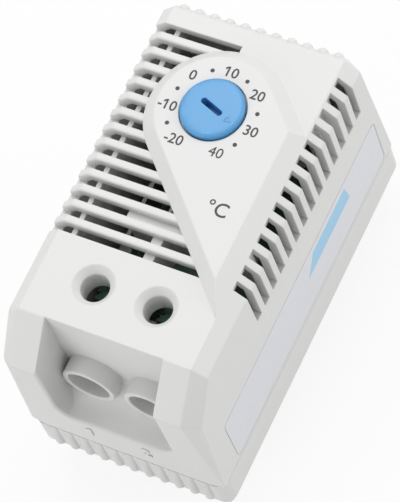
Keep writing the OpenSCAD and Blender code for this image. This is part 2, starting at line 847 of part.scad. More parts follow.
module strip_rivets() color(brass) for (z = root_levels) {
    translate([-strip_face - strip_t - root_gap, root_y, z]) rotate([0, 90, 0])
        rivet(strip_t + 2 * root_gap + root_t);
    translate([-blade_face - blade_t - root_gap, root_y, z]) rotate([0, 90, 0])
        rivet(blade_t + 2 * root_gap + root_t);
}

// Wire clamp: cage round the rail, threaded on its screw
module wire_clamp() {
    w = clamp_w / 2;
    low = screw_y - clamp_l / 2;
    high = screw_y + clamp_l / 2;
    difference() {
        block([-w, low, clamp_floor - clamp_t], [w, high, clamp_top]);
        block([clamp_t - w, low - over, clamp_floor], [w - clamp_t, high + over, clamp_roof]);
        translate([0, screw_y, clamp_roof - over])
            cylinder(r = screw_r + run_fit, h = clamp_t + 2 * over);
    }
}

module terminal_clamp_1() color(steel) translate([-term_x, 0, 0]) wire_clamp();

module terminal_clamp_2() color(steel) translate([term_x, 0, 0]) wire_clamp();

// Terminal screw: slotted head on a shank that bears on the rail
module wire_screw() {
    low = bar_top + run_fit;
    slot_low = head_z + screw_head_h / 2;
    translate([0, screw_y, 0]) difference() {
        union() {
            translate([0, 0, low]) cylinder(r = screw_r, h = head_z - low + weld);
            translate([0, 0, head_z]) cylinder(r = screw_head_r, h = screw_head_h);
        }
        block([-screw_head_r - over, -screw_slot / 2, slot_low],
              [screw_head_r + over, screw_slot / 2, slot_low + screw_head_h]);
    }
}

module terminal_screw_1() color(steel) translate([-term_x, 0, 0]) wire_screw();

module terminal_screw_2() color(steel) translate([term_x, 0, 0]) wire_screw();

// Knob: domed head in the well, with a driver slot and a raised pointer mark
module setting_knob() color(blue) translate([0, dial_y, 0]) difference() {
    union() {
        knob_body();
        rotate([0, 0, pointer_angle]) translate([pointer_r, 0, knob_top - 2 * knob_dome])
            linear_extrude(1.6 * knob_dome + pointer_h) pointer_mark();
    }
    rotate([0, 0, pointer_angle]) translate([0, 0, knob_top - driver_d])
        linear_extrude(2 * driver_d) driver_slot();
    translate([0, 0, shank_low - over])
        cylinder(r = spindle_r + fixed_fit, h = spindle_top + fixed_fit - shank_low + over);
}

module knob_body() {
    dome_r = (pow(knob_r, 2) + pow(knob_dome, 2)) / (2 * knob_dome);
    flat_r = knob_r - knob_round;
    rim_top = knob_top - knob_dome;
    groove_low = clip_z - fixed_fit;
    groove_top = clip_z + clip_t + fixed_fit;
    shank = [[0, shank_low], [shank_r, shank_low], [shank_r, groove_low], [groove_r, groove_low],
             [groove_r, groove_top], [shank_r, groove_top], [shank_r, head_low], [knob_r, head_low]];
    edge = [for (a = [0 : 15 : 75])
        [flat_r + knob_round * cos(a), rim_top - knob_round + knob_round * sin(a)]];
    top = [for (k = [0 : 6])
        let (r = flat_r * (1 - k / 6))
        [r, knob_top - dome_r + sqrt(pow(dome_r, 2) - pow(r, 2))]];
    rotate_extrude($fn = 96) polygon(concat(shank, edge, top));
}

module driver_slot() {
    half = (driver_l - driver_w) / 2;
    square([2 * half, driver_w], center = true);
    for (end = [-half, half]) translate([end, 0]) circle(driver_w / 2);
}

// Outline of a triangle that points outwards
module pointer_mark() {
    difference() {
        circle(pointer_size, $fn = 3);
        circle(pointer_size - 2 * pointer_line, $fn = 3);
    }
}

module knob_clip() color(steel) translate([0, dial_y, clip_z]) difference() {
    cylinder(r = shank_r + clip_rim, h = clip_t);
    translate([0, 0, -over]) cylinder(r = groove_r + fixed_fit, h = clip_t + 2 * over);
    block([0, -0.7 * groove_r, -over], [2 * shank_r, 0.7 * groove_r, clip_t + over]);
}

module setting_spindle() color(steel) translate([0, dial_y, spindle_low])
    cylinder(r = spindle_r, h = spindle_top - spindle_low);

module spindle_bush() color(brass) translate([0, dial_y, 0]) difference() {
    union() {
        translate([0, 0, board_z]) cylinder(r = bush_r, h = board_t + weld);
        translate([0, 0, board_top]) cylinder(r = bush_r + bush_t, h = rail_t);
    }
    translate([0, 0, board_z - over])
        cylinder(r = spindle_r + run_fit, h = board_t + rail_t + 2 * over);
}

// Cam: spiral whose radius faces the blade as the knob turns
module setting_cam() color(cam_white) translate([0, dial_y, cam_z]) difference() {
    linear_extrude(cam_t) polygon([for (turn = [turn_min : 5 : turn_max])
        let (r = cam_r + cam_rise * turn)
        [-r * cos(turn), r * sin(turn)]]);
    translate([0, 0, -over]) cylinder(r = spindle_r + fixed_fit, h = cam_t + 2 * over);
}

// Contact blade: spring strip rooted at the dial end, with a nib on the cam
module contact_blade() color(brass) difference() {
    low = blade_mid - blade_w / 2;
    union() {
        block([-blade_face - blade_t, blade_end, low], [-blade_face, root_end, low + blade_w]);
        intersection() {
            translate([-blade_face, dial_y, low]) cylinder(r = nib_r, h = blade_w);
            block([-blade_face - blade_t / 2, dial_y - nib_r, low], [0, dial_y + nib_r, low + blade_w]);
        }
    }
    root_holes(-blade_face - blade_t);
    translate([-blade_face - blade_t - over, contact_y, blade_mid])
        along_x(contact_r / 2 + fixed_fit, blade_t + 2 * over);
}

// Contact button along +X from its carrier's face, with a shank through the carrier
module contact_button(carrier_t) {
    along_x(contact_r, contact_h);
    translate([-carrier_t, 0, 0]) along_x(contact_r / 2, carrier_t + weld);
}

module fixed_contact() color(silver) translate([-blade_face - blade_t, contact_y, blade_mid])
    mirror([1, 0, 0]) contact_button(blade_t);

module moving_contact() color(silver) translate([-strip_face, contact_y, blade_mid])
    contact_button(strip_t);

// Bimetal strip: wide at its riveted root and narrower at its free end
module bimetal_strip() color(copper) difference() {
    w = strip_w / 2;
    tip = strip_tip_w / 2;
    middle = (root_y + strip_end) / 2;
    translate([-strip_x, 0, blade_mid]) run_x([[root_end, -w], [root_end, w], [middle, w],
        [strip_end, tip], [strip_end, -tip], [middle, -w]], strip_t);
    root_holes(-strip_face - strip_t);
    translate([-strip_x - strip_t, contact_y, blade_mid])
        along_x(contact_r / 2 + fixed_fit, 2 * strip_t);
}

// Calibration screw in the left rail's arm, its tip just off the bimetal strip
module calibration_screw() color(brass)
    translate([strip_back + arm_gap - apart, adjust_y, blade_mid]) difference() {
        head_x = apart + rail_t;
        union() {
            along_x(adjust_r, head_x + weld);
            translate([head_x, 0, 0]) along_x(2 * adjust_r, adjust_head);
        }
        block([head_x + adjust_head / 2, -over - 2 * adjust_r, -adjust_slot / 2],
              [head_x + adjust_head + over, over + 2 * adjust_r, adjust_slot / 2]);
    }

module snap_magnet() color(magnet_grey) translate([magnet_gap - strip_face, strip_end, 0])
    block([0, -apart, board_top], [magnet_w, magnet_l - apart, blade_mid + strip_tip_w / 2]);

front_cover();
rear_base();
rail_latch();
latch_spring();
switch_board();
terminal_rail_1();
terminal_rail_2();
rail_rivets();
terminal_clamp_1();
terminal_clamp_2();
terminal_screw_1();
terminal_screw_2();
setting_knob();
knob_clip();
setting_spindle();
spindle_bush();
setting_cam();
contact_blade();
fixed_contact();
bimetal_strip();
moving_contact();
strip_rivets();
calibration_screw();
snap_magnet();
rating_label();
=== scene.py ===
"""Looks of a rail-mounted bimetal temperature switch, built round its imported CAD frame.

Set up as a Blender add-on that also runs as a script. All lengths are metres of the real part.
"""

import math

import bpy
from mathutils import Matrix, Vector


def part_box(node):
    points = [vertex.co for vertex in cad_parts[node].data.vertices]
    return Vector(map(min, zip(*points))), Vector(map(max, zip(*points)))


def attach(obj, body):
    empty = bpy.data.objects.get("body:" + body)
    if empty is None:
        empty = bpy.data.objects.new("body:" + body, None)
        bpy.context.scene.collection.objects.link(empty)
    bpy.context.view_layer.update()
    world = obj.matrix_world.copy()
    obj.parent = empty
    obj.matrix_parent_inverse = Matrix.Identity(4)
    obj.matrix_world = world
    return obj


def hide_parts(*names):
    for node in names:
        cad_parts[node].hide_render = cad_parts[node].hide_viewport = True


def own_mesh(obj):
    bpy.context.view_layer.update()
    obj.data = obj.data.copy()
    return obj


bl_info = {
    "name": "Temperature switch looks",
    "version": (1, 0, 0),
    "blender": (4, 5, 0),
    "location": "View3D > Sidebar > Switch",
    "description": "Builds the finish, print and stage of a rail-mounted temperature switch",
    "category": "Object",
}

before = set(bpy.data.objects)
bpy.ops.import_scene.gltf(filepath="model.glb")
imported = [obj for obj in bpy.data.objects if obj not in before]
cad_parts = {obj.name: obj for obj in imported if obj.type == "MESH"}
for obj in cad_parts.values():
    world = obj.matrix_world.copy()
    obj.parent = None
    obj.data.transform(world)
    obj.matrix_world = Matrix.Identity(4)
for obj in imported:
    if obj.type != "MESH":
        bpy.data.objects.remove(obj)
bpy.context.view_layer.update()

MM = 0.001

COVER_LOW, COVER_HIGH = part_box("front_cover")
KNOB_LOW, KNOB_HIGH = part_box("setting_knob")

# Places of the cover's faces, the top of the base's ribs and the middle of the dial
END_Y = COVER_LOW.y
SEAM_Z = COVER_LOW.z
SIDE_X = COVER_HIGH.x
TONGUE_TOP = COVER_HIGH.z
FRONT_Z = TONGUE_TOP - 2.0 * MM
CHAMFER_SUM = SIDE_X + FRONT_Z - 2.18 * MM
STEPS_Z = (FRONT_Z - 1.7 * MM, FRONT_Z + 0.05 * MM)
TUBE_MOUTH_Y = END_Y + 3.84 * MM
RIB_TOP_Z = SEAM_Z - 0.2 * MM
DIAL_Y = (KNOB_LOW.y + KNOB_HIGH.y) / 2

# Limits that tell one kind of moulded edge from another
CORNER_X = SIDE_X - 2.35 * MM
FRONT_EDGE_Z = FRONT_Z - 0.5 * MM
SEAM_EDGE_Z = SEAM_Z + 0.6 * MM
DIAL_END_Y = 28.0 * MM
RIB_Y = -END_Y - 0.2 * MM
LIP_X = 9.7 * MM
LIP_LOW_Z = SEAM_Z + 6.1 * MM
LIP_TOP_Z = SEAM_Z + 21.1 * MM
SLOTS_Y = (-10.0 * MM, 24.5 * MM)
NEAR = 0.02 * MM
WELD = 0.002 * MM
FLAT = math.radians(0.4)
SHARP = math.radians(28)
BLUNT = math.radians(62)
SMOOTH = math.radians(32)

# Rounding of the small pieces, and the steps of a rounding
KNOB_EDGE = 0.03 * MM
CLAMP_EDGE = 0.12 * MM
SCREW_EDGE = 0.08 * MM
EDGE_STEPS = 3
RIM_STEPS = 2

# Dial print by its angle in degrees, other print by its place, and shares of a figure's height
FIGURES = {"-20": 240, "-10": 190, "0": 140, "10": 90, "20": 40, "30": -10, "40": -60}
TEN_INWARD = 0.25 * MM
DOTS = (215, 165, 115, 65, 15, -35)
DOT_SIDES = 20
TYPE_STEPS = 4
LEFTWARD = -0.9
FLAG_CUT = 0.2
FLAG_OUT = 0.24
FLAG_DROP = 0.15
BAR_WIDTH = 0.3
BAR_HEIGHT = 0.8
UNIT_PLACE = (7.6 * MM, -0.7 * MM)
TERMINALS = {"1": (-4.75 * MM, 17.2 * MM), "2": (4.55 * MM, 17.2 * MM)}
BAND = ((2.5 * MM, 19.4 * MM), (16.9 * MM, 19.4 * MM), (5.2 * MM, 22.8 * MM), (16.3 * MM, 22.8 * MM))

# Winding of the latch spring
WIRE_SIDES = 12
TURN_STEPS = 28

# Display colour and roughness of the metals, also the grain of the inner plastics, and other roughness
METALS = {
    "look_brass": ((214, 178, 104), 0.30),
    "look_tin": ((192, 190, 184), 0.40),
    "look_steel": ((190, 192, 196), 0.30),
    "look_zinc": ((112, 150, 126), 0.60),
    "look_silver": ((226, 226, 222), 0.22),
    "look_bimetal": ((168, 160, 150), 0.40),
    "look_magnet": ((150, 150, 154), 0.42),
}
INNER_PLASTICS = {
    "look_cam": ((238, 232, 214), 0.40, 0.1),
    "look_board": ((72, 108, 90), 0.50, 0.2),
}
KNOB_ROUGH = 0.34
LABEL_ROUGH = 0.30
BAND_ROUGH = 0.32
INK_ROUGH = 0.50

# Lamps, floor and camera
KEY_PLACE = (-0.15, 0.26, 0.58)
SIDE_PLACE = (0.66, 0.26, 0.26)
END_PLACE = (-0.26, -0.64, 0.20)
FLOOR_SIZE = 30.0
FLOOR_COLOR = (0.8, 0.8, 0.8, 1.0)
FLOOR_ROUGH = 0.9
WHITE = (1.0, 1.0, 1.0, 1.0)
SENSOR = 36.0
CLIP_START = 0.01
CAMERA_AXES = (
    (0.8811016, -0.30188842, 0.36403757),
    (0.42393843, 0.8453502, -0.32505269),
    (-0.20960959, 0.44073396, 0.87282151),
)


class Wire:
    """A shader socket that takes arithmetic, so that a material reads as a formula."""

    def __init__(self, paint, socket):
        self.paint = paint
        self.socket = socket

    def _math(self, operation, first, second):
        return self.paint.node("ShaderNodeMath", 0, {0: first, 1: second}, operation=operation)

    def __add__(self, other):
        return self._math("ADD", self, other)

    def __sub__(self, other):
        return self._math("SUBTRACT", self, other)

    def __rsub__(self, other):
        return self._math("SUBTRACT", other, self)

    def __mul__(self, other):
        return self._math("MULTIPLY", self, other)

    __radd__ = __add__
    __rmul__ = __mul__


class Paint:
    """A procedural material on Object coordinates around one Principled shader."""

    def __init__(self, name):
        self.material = bpy.data.materials.new(name)
        self.material.use_nodes = True
        self.tree = self.material.node_tree
        self.shader = self.tree.nodes["Principled BSDF"]

    def node(self, kind, output, inputs=None, **settings):
        made = self.tree.nodes.new(kind)
        for key, value in settings.items():
            setattr(made, key, value)
        for key, value in (inputs or {}).items():
            self.feed(made.inputs[key], value)
        return Wire(self, made.outputs[output])

    def feed(self, socket, value):
        if isinstance(value, Wire):
            self.tree.links.new(value.socket, socket)
        else:
            socket.default_value = value

    def set(self, **values):
        for key, value in values.items():
            self.feed(self.shader.inputs[key.replace("_", " ")], value)
        return self

    def place(self):
        return self.node("ShaderNodeTexCoord", "Object")

    def noise(self, scale, detail=3.0):
        values = {"Vector": self.place(), "Scale": scale, "Detail": detail}
        return self.node("ShaderNodeTexNoise", 0, values)

    def between(self, factor, first, second):
        """A mix of two colours, whose sockets on the Mix node are numbers 6 and 7, and 2 for the result."""
        return self.node("ShaderNodeMix", 2, {0: factor, 6: first, 7: second}, data_type="RGBA")

    def bump(self, height, strength, distance):
        values = {"Height": height, "Strength": strength, "Distance": distance}
        return self.node("ShaderNodeBump", 0, values)


def linear(red, green, blue):
    """Display values 0 to 255 as a linear colour."""
    def one(value):
        share = value / 255
        return share / 12.92 if share <= 0.04045 else ((share + 0.055) / 1.055) ** 2.4

    return (one(red), one(green), one(blue), 1.0)


def scaled(color, factor):
    return tuple(channel * factor for channel in color[:3]) + (1.0,)


def plastic(name, color, roughness, grain):
    """Moulded plastic: a faint cloud in tone and gloss, and a fine spark-eroded grain."""
    paint = Paint(name)
    cloud = paint.noise(scale=120.0)
    fine = paint.noise(scale=5200.0, detail=2.0)
    paint.set(
        Base_Color=paint.between(cloud, scaled(color, 0.985), color),
        Roughness=roughness + 0.06 * cloud,
        Normal=paint.bump(fine, strength=grain, distance=0.02 * MM),
    )
    return paint.material


def metal(name, color, roughness):
    """Bare sheet or turned metal with uneven gloss and fine drawing marks."""
    paint = Paint(name)
    cloud = paint.noise(scale=700.0)
    marks = paint.noise(scale=4200.0, detail=2.0)
    paint.set(
        Base_Color=paint.between(cloud, scaled(color, 0.86), color),
        Metallic=1.0,
        Roughness=roughness + 0.16 * cloud,
        Normal=paint.bump(marks, strength=0.1, distance=0.01 * MM),
    )
    return paint.material


def film(name, color, roughness):
    """Label film: a faint mottle, and a gloss that is lower where the mottle is dark."""
    paint = Paint(name)
    mottle = paint.noise(scale=900.0, detail=4.0)
    wave = paint.noise(scale=2600.0)
    paint.set(
        Base_Color=paint.between(mottle, scaled(color, 0.965), color),
        Roughness=roughness + 0.12 * (1 - mottle),
        Normal=paint.bump(wave, strength=0.12, distance=0.01 * MM),
    )
    return paint.material


def ink(name, color, roughness):
    """Pad-printed ink, a little thin in places."""
    paint = Paint(name)
    cover = paint.noise(scale=3400.0)
    paint.set(
        Base_Color=paint.between(cover, color, scaled(color, 1.5)),
        Roughness=roughness + 0.15 * cover,
    )
    return paint.material


def settings():
    return bpy.context.scene.switch_looks


def finish_of(name):
    """The material of that name, made once from the tables and the settings."""
    if name in bpy.data.materials:
        return bpy.data.materials[name]
    if name in METALS:
        color, roughness = METALS[name]
        return metal(name, linear(*color), roughness)
    if name in INNER_PLASTICS:
        color, roughness, grain = INNER_PLASTICS[name]
        return plastic(name, linear(*color), roughness, grain)
    look = settings()
    outside = {
        "look_housing": (plastic, look.housing_color, look.housing_rough, look.grain),
        "look_base": (plastic, look.base_color, look.housing_rough, look.grain),
        "look_knob": (plastic, look.knob_color, KNOB_ROUGH, look.grain),
        "look_label": (film, look.label_color, LABEL_ROUGH),
        "look_band": (film, look.band_color, BAND_ROUGH),
        "look_ink": (ink, look.ink_color, INK_ROUGH),
    }
    maker, color, *values = outside[name]
    return maker(name, scaled(color, 1.0), *values)


def only(obj):
    """Makes obj the one selected and active object."""
    if bpy.context.object and bpy.context.object.mode != "OBJECT":
        bpy.ops.object.mode_set(mode="OBJECT")
    bpy.ops.object.select_all(action="DESELECT")
    obj.select_set(True)
    bpy.context.view_layer.objects.active = obj


def edit_all(obj):
    """Opens obj in edit mode with everything selected."""
    only(obj)
    bpy.ops.object.mode_set(mode="EDIT")
    bpy.ops.mesh.select_all(action="SELECT")


def pick_faces(obj, test):
    """Opens obj in edit mode with the faces selected that pass the test."""
    only(obj)
    bpy.ops.object.mode_set(mode="EDIT")
    bpy.ops.mesh.select_mode(type="FACE")
    bpy.ops.mesh.select_all(action="DESELECT")
    bpy.ops.object.mode_set(mode="OBJECT")
    for face in obj.data.polygons:
        face.select = test(face)
    bpy.ops.object.mode_set(mode="EDIT")


def closed(obj):
    """Joins the seams of obj and turns its faces outwards."""
    edit_all(obj)
    bpy.ops.mesh.remove_doubles(threshold=WELD)
    bpy.ops.mesh.normals_make_consistent(inside=False)
    bpy.ops.object.mode_set(mode="OBJECT")
    return obj


def painted(obj, material):
    obj.data.materials.clear()
    obj.data.materials.append(finish_of(material))
    return obj


def dress(node, material):
    """A CAD node keeps its shape and gets its finish."""
    return painted(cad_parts[node], material)


def applied(obj):
    """Applies all modifiers of obj in order."""
    only(obj)
    for name in [modifier.name for modifier in obj.modifiers]:
        bpy.ops.object.modifier_apply(modifier=name)
    return obj


def is_corner(first, second):
    """Whether an edge lies on the side chamfers or upright corners, away from the thin strip in front."""
    if min(abs(first.x), abs(second.x)) < CORNER_X or max(first.y, second.y) > DIAL_END_Y:
        return False
    top = max(first.z, second.z)
    return top > SEAM_EDGE_Z and not (first.x > 0 and top > FRONT_EDGE_Z)


def is_rib(first, second):
    """Whether an edge lies on the base's ribbed end walls, whose small ends stay as they are."""
    return min(abs(first.y), abs(second.y)) > RIB_Y and max(first.z, second.z) < SEAM_EDGE_Z


def is_lip(first, second):
    """Whether an edge lies on the terminal recess's lip in the end wall."""
    on_end = max(abs(first.y - END_Y), abs(second.y - END_Y)) < NEAR
    across = max(abs(first.x), abs(second.x)) < LIP_X
    low, top = min(first.z, second.z), max(first.z, second.z)
    return on_end and across and low > LIP_LOW_Z and top < LIP_TOP_Z


def is_mouth(first, second):
    """Whether an edge lies on the mouth of a wire tube."""
    return max(abs(first.y - TUBE_MOUTH_Y), abs(second.y - TUBE_MOUTH_Y)) < NEAR


def is_step(first, second):
    """Whether an edge lies on the thin steps at the tongue's foot, which are too low to be rounded."""
    return any(max(abs(first.z - step), abs(second.z - step)) < NEAR for step in STEPS_Z)


def on_skin(point):
    """Whether a point lies on the cover's front, left chamfer or left wall."""
    outward = max(point.z - FRONT_Z, -point.x - SIDE_X, point.z - point.x - CHAMFER_SUM)
    return abs(outward) < NEAR


def is_bar(first, second):
    """Whether an edge lies on a louvre bar of the left side."""
    low, high = SLOTS_Y
    across = abs(first.y - second.y) < NEAR and low < first.y < high
    return across and on_skin(first) and on_skin(second)


def cover_rounding(first, second, bend):
    """Rounding of an outer edge of the cover, by its place."""
    look = settings()
    if is_lip(first, second):
        return look.lip_edge
    if is_mouth(first, second):
        return look.mouth_edge
    if is_bar(first, second):
        return look.bar_edge
    if is_step(first, second):
        return 0.0
    return look.blunt_edge if bend < BLUNT and is_corner(first, second) else look.edge


def weigh_edges(mesh, rounding, widest):
    """Gives each outer edge its rounding as a share of the widest one."""
    sides = {}
    for face in mesh.polygons:
        ring = list(face.vertices)
        for first, second in zip(ring, ring[1:] + ring[:1]):
            sides[first, second] = face.normal.copy()
    layer = mesh.attributes.new("bevel_weight_edge", "FLOAT", "EDGE")
    for edge in mesh.edges:
        first, second = edge.vertices
        near = sides.get((first, second))
        far = sides.get((second, first))
        bend = near.angle(far, 0) if near and far else 0
        start, end = mesh.vertices[first].co, mesh.vertices[second].co
        if is_rib(start, end):
            continue
        if bend > SHARP and far.cross(start - end).dot(near) < 0:
            layer.data[edge.index].value = rounding(start, end, bend) / widest


def keep_inside(obj, box):
    """Draws points that rounding pushed past a box back onto it."""
    low, high = box
    for vertex in obj.data.vertices:
        vertex.co = [min(max(place, least), most) for place, least, most in zip(vertex.co, low, high)]


def run_out(obj):
    """Lets the base's ribs run out into the wall towards the seam at the wire end."""
    wall = END_Y - NEAR
    pick_faces(obj, lambda face: face.center.y < wall)
    bpy.ops.mesh.bisect(plane_co=(0, 0, RIB_TOP_Z - settings().rib_run), plane_no=(0, 0, 1))
    bpy.ops.object.mode_set(mode="OBJECT")
    for vertex in obj.data.vertices:
        if vertex.co.z > RIB_TOP_Z - NEAR:
            vertex.co.y = max(vertex.co.y, wall)


def softened(node, body, material, width, rounding=None, reshape=None):
    """A merged copy of a CAD node with moulded edges, up to a width, which stands for the node."""
    only(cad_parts[node])
    bpy.ops.object.duplicate()
    obj = bpy.context.object
    for key in list(obj.keys()):
        del obj[key]
    obj.name = node + "_moulded"
    bpy.ops.mesh.customdata_custom_splitnormals_clear()
    edit_all(obj)
    bpy.ops.mesh.remove_doubles(threshold=WELD)
    bpy.ops.mesh.dissolve_degenerate(threshold=WELD)
    bpy.ops.mesh.dissolve_limited(angle_limit=FLAT)
    bpy.ops.object.mode_set(mode="OBJECT")
    if reshape:
        reshape(obj)
    weigh_edges(obj.data, rounding or (lambda *edge: width), width)
    only(obj)
    bpy.ops.object.modifier_add(type="BEVEL")
    bevel = obj.modifiers[-1]
    bevel.width = width
    bevel.segments = EDGE_STEPS
    bevel.limit_method = "WEIGHT"
    bevel.use_clamp_overlap = False
    applied(obj)
    keep_inside(obj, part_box(node))
    bpy.ops.object.shade_smooth_by_angle(angle=SMOOTH)
    bpy.ops.object.modifier_add(type="WEIGHTED_NORMAL")
    obj.modifiers[-1].keep_sharp = True
    applied(obj)
    painted(obj, material)
    obj.parent = None
    obj.matrix_world = Matrix.Identity(4)
    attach(obj, body)
    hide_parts(node)
    return obj


def soft_rim(obj, rise):
    """Rounds the rim of a thin printed film."""
    only(obj)
    bpy.ops.object.modifier_add(type="BEVEL")
    obj.modifiers[-1].width = rise / 3
    obj.modifiers[-1].segments = RIM_STEPS
    return applied(obj)


def baked(obj, name):
    """Puts the object's place into its mesh and names it."""
    only(obj)
    bpy.ops.object.transform_apply(location=True, rotation=True, scale=True)
    obj.name = name
    return obj


def span(obj, axis):
    """Lowest and highest place of obj's points along an axis."""
    places = [vertex.co[axis] for vertex in obj.data.vertices]
    return min(places), max(places)


def flag_one(obj, cap):
    """Draws the flag out of the left side of the bare stroke of a figure 1."""
    top = span(obj, 1)[1]
    cut = top - FLAG_CUT * cap
    flag = (-FLAG_OUT * cap, -FLAG_DROP * cap, 0)
    edit_all(obj)
    bpy.ops.mesh.bisect(plane_co=(0, cut, 0), plane_no=(0, 1, 0))
    pick_faces(obj, lambda face: face.normal.x < LEFTWARD and face.center.y > cut)
    bpy.ops.mesh.extrude_region_move(TRANSFORM_OT_translate={"value": flag})
    bpy.ops.object.mode_set(mode="OBJECT")


def with_flags(obj, cap):
    """Gives each figure 1 its flag, because the built-in type draws it as a plain stroke."""
    edit_all(obj)
    bpy.ops.mesh.separate(type="LOOSE")
    bpy.ops.object.mode_set(mode="OBJECT")
    strokes = list(bpy.context.selected_objects)
    for stroke in strokes:
        left, right = span(stroke, 0)
        low, high = span(stroke, 1)
        if right - left < BAR_WIDTH * cap and high - low > BAR_HEIGHT * cap:
            flag_one(stroke, cap)
    only(obj)
    for stroke in strokes:
        stroke.select_set(True)
    if len(strokes) > 1:
        bpy.ops.object.join()
    return bpy.context.object


def sign(name, words, place, cap, rise, material, turn=(0.0, 0.0, 0.0), bold=0.0):
    """Plain figures as a thin raised mesh, centred on a point."""
    bpy.ops.object.select_all(action="DESELECT")
    bpy.ops.object.text_add(location=(0, 0, 0))
    obj = bpy.context.object
    obj.data.body = words
    obj.data.align_x = "CENTER"
    obj.data.align_y = "CENTER"
    obj.data.resolution_u = TYPE_STEPS
    obj.data.size = cap / settings().cap_share
    obj.data.extrude = rise / 2
    obj.data.offset = bold
    only(obj)
    bpy.ops.object.convert(target="MESH")
    obj = closed(bpy.context.object)
    if "1" in words:
        obj = with_flags(obj, cap)
    obj.rotation_euler = turn
    obj.location = place
    return painted(baked(obj, name), material)


class SwitchLooks(bpy.types.PropertyGroup):
    """Sizes and colours of the finish."""

    housing_color: bpy.props.FloatVectorProperty(
        name="Housing",
        description="Colour of the cover",
        default=(0.69, 0.69, 0.682),
        subtype="COLOR",
    )
    base_color: bpy.props.FloatVectorProperty(
        name="Base",
        description="Colour of the base and the latch",
        default=(0.68, 0.68, 0.672),
        subtype="COLOR",
    )
    knob_color: bpy.props.FloatVectorProperty(
        name="Knob",
        description="Colour of the setting knob",
        default=(0.095, 0.33, 0.63),
        subtype="COLOR",
    )
    label_color: bpy.props.FloatVectorProperty(
        name="Label",
        description="Colour of the label film",
        default=(0.67, 0.68, 0.72),
        subtype="COLOR",
    )
    band_color: bpy.props.FloatVectorProperty(
        name="Band",
        description="Colour of the label's plain band",
        default=(0.30, 0.56, 0.78),
        subtype="COLOR",
    )
    ink_color: bpy.props.FloatVectorProperty(
        name="Ink",
        description="Colour of the dial print",
        default=(0.045, 0.04, 0.04),
        subtype="COLOR",
    )
    housing_rough: bpy.props.FloatProperty(
        name="Roughness", description="Roughness of the housing plastic", default=0.46
    )
    grain: bpy.props.FloatProperty(
        name="Grain",
        description="Strength of the mould grain",
        default=0.25,
    )
    edge: bpy.props.FloatProperty(
        name="Edge", description="Rounding of the moulded edges", default=0.14 * MM, unit="LENGTH"
    )
    blunt_edge: bpy.props.FloatProperty(
        name="Blunt edge",
        description="Rounding of the chamfers' edges",
        default=0.45 * MM,
        unit="LENGTH",
    )
    lip_edge: bpy.props.FloatProperty(
        name="Lip",
        description="Rounding of the recess's lip in the end wall",
        default=0.6 * MM,
        unit="LENGTH",
    )
    mouth_edge: bpy.props.FloatProperty(
        name="Mouth",
        description="Rounding of the wire tubes' mouths",
        default=0.3 * MM,
        unit="LENGTH",
    )
    bar_edge: bpy.props.FloatProperty(
        name="Bars",
        description="Rounding of the left louvre bars",
        default=0.32 * MM,
        unit="LENGTH",
    )
    rib_run: bpy.props.FloatProperty(
        name="Rib run-out",
        description="Length over which the base's ribs fade",
        default=2.5 * MM,
        unit="LENGTH",
    )
    cap_share: bpy.props.FloatProperty(
        name="Cap share",
        description="Height of a figure as a share of the type size",
        default=0.715,
    )
    figure_cap: bpy.props.FloatProperty(
        name="Figures", description="Height of the dial figures", default=1.65 * MM, unit="LENGTH"
    )
    figure_r: bpy.props.FloatProperty(
        name="Figure radius",
        description="Distance of the figures from the axis",
        default=6.9 * MM,
        unit="LENGTH",
    )
    dot_r: bpy.props.FloatProperty(
        name="Dot radius",
        description="Distance of the dots from the axis",
        default=6.75 * MM,
        unit="LENGTH",
    )
    dot_size: bpy.props.FloatProperty(
        name="Dot size", description="Radius of a printed dot", default=0.33 * MM, unit="LENGTH"
    )
    stroke: bpy.props.FloatProperty(
        name="Stroke",
        description="Widening of the figures' strokes",
        default=0.02 * MM,
        unit="LENGTH",
    )
    print_drop: bpy.props.FloatProperty(
        name="Print drop",
        description="How far the print sits below the axis",
        default=0.25 * MM,
        unit="LENGTH",
    )
    unit_cap: bpy.props.FloatProperty(
        name="Unit", description="Height of the unit sign", default=2.25 * MM, unit="LENGTH"
    )
    ink_rise: bpy.props.FloatProperty(
        name="Ink film", description="Thickness of the dial print", default=0.03 * MM, unit="LENGTH"
    )
    mark_cap: bpy.props.FloatProperty(
        name="Marks",
        description="Height of the raised terminal figures",
        default=2.3 * MM,
        unit="LENGTH",
    )
    mark_rise: bpy.props.FloatProperty(
        name="Mark rise",
        description="How far the terminal figures stand out",
        default=0.2 * MM,
        unit="LENGTH",
    )


class SwitchStage(bpy.types.PropertyGroup):
    """Camera and light."""

    lens: bpy.props.FloatProperty(
        name="Lens", description="Focal length", default=244.8, unit="CAMERA"
    )
    eye: bpy.props.FloatVectorProperty(
        name="Camera",
        description="Place of the camera",
        default=(0.18355, -0.16412, 0.46270),
        unit="LENGTH",
    )
    key: bpy.props.FloatProperty(
        name="Key",
        description="Power of the key light",
        default=2.5,
        unit="POWER",
    )
    side: bpy.props.FloatProperty(
        name="Side",
        description="Power of the side light",
        default=1.6,
        unit="POWER",
    )
    end: bpy.props.FloatProperty(
        name="End",
        description="Power of the end light",
        default=1.55,
        unit="POWER",
    )
    lamp_size: bpy.props.FloatProperty(
        name="Lamp size", description="Edge of each square lamp", default=0.5, unit="LENGTH"
    )
    sky: bpy.props.FloatProperty(name="Sky", description="Strength of the even light", default=0.54)
    backdrop: bpy.props.FloatProperty(
        name="Backdrop",
        description="Share of plain white in the floor as the camera sees it",
        default=0.88,
        subtype="FACTOR",
    )


class SWITCH_OT_cover(bpy.types.Operator):
    """Moulds the louvred front cover."""

    bl_idname = "switch.cover"
    bl_label = "Front cover"

    def execute(self, context):
        softened("front_cover", "housing", "look_housing", settings().lip_edge, cover_rounding)
        return {"FINISHED"}


